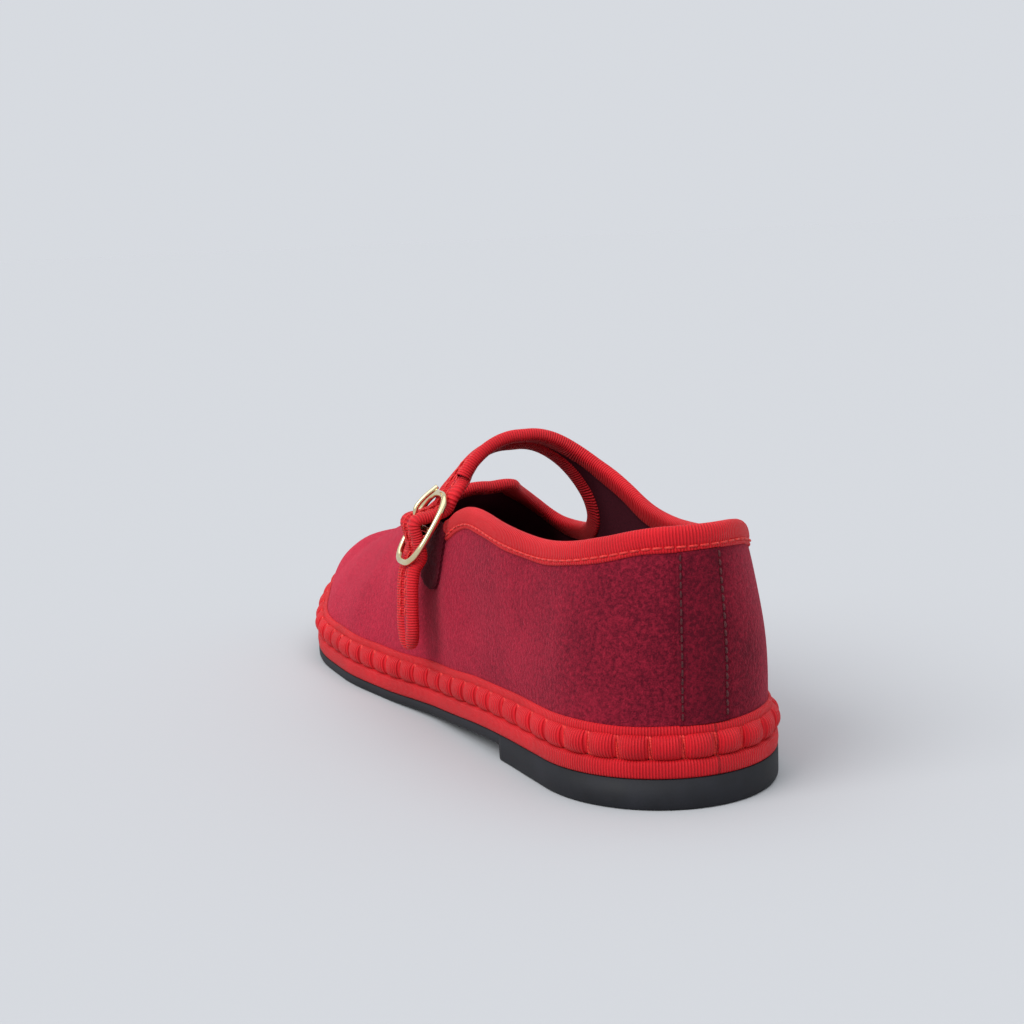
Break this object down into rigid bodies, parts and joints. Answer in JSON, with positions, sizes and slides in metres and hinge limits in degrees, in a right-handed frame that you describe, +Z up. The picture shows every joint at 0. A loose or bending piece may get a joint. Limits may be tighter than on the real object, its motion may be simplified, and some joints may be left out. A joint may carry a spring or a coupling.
{
  "type": "mary jane shoe",
  "caption": "Left low velvet shoe with an instep strap and slide buckle, ribbon bindings, a padded rand roll and a thin rubber sole with a low heel lift.",
  "frame": {"origin": "On the floor, under the middle of the whole shoe's bounding box.", "axes": "+X runs from the heel to the toe, +Y to the wearer's left (the lateral side, where the buckle is), +Z up."},
  "size_m": [0.25, 0.0888, 0.0849],
  "materials": {
    "rubber": "matt charcoal rubber",
    "grosgrain": "bright red ribbed ribbon",
    "lining": "near-black burgundy cloth",
    "velvet": "raspberry-burgundy velvet",
    "gold_metal": "pale champagne-gold plate"
  },
  "bodies": {
    "root": {"outsole": "rubber", "heel_lift": "rubber", "midsole": "grosgrain", "insole": "lining", "rand_roll": "grosgrain", "rand_selvage": "grosgrain", "upper": "velvet", "collar_binding": "grosgrain", "throat_binding": "grosgrain", "back_stay": "velvet", "buckle_tab": "velvet", "buckle_frame": "gold_metal", "buckle_tongue": "gold_metal", "strap_end": "velvet", "strap_end_binding": "grosgrain"}
  },
  "joints": []
}
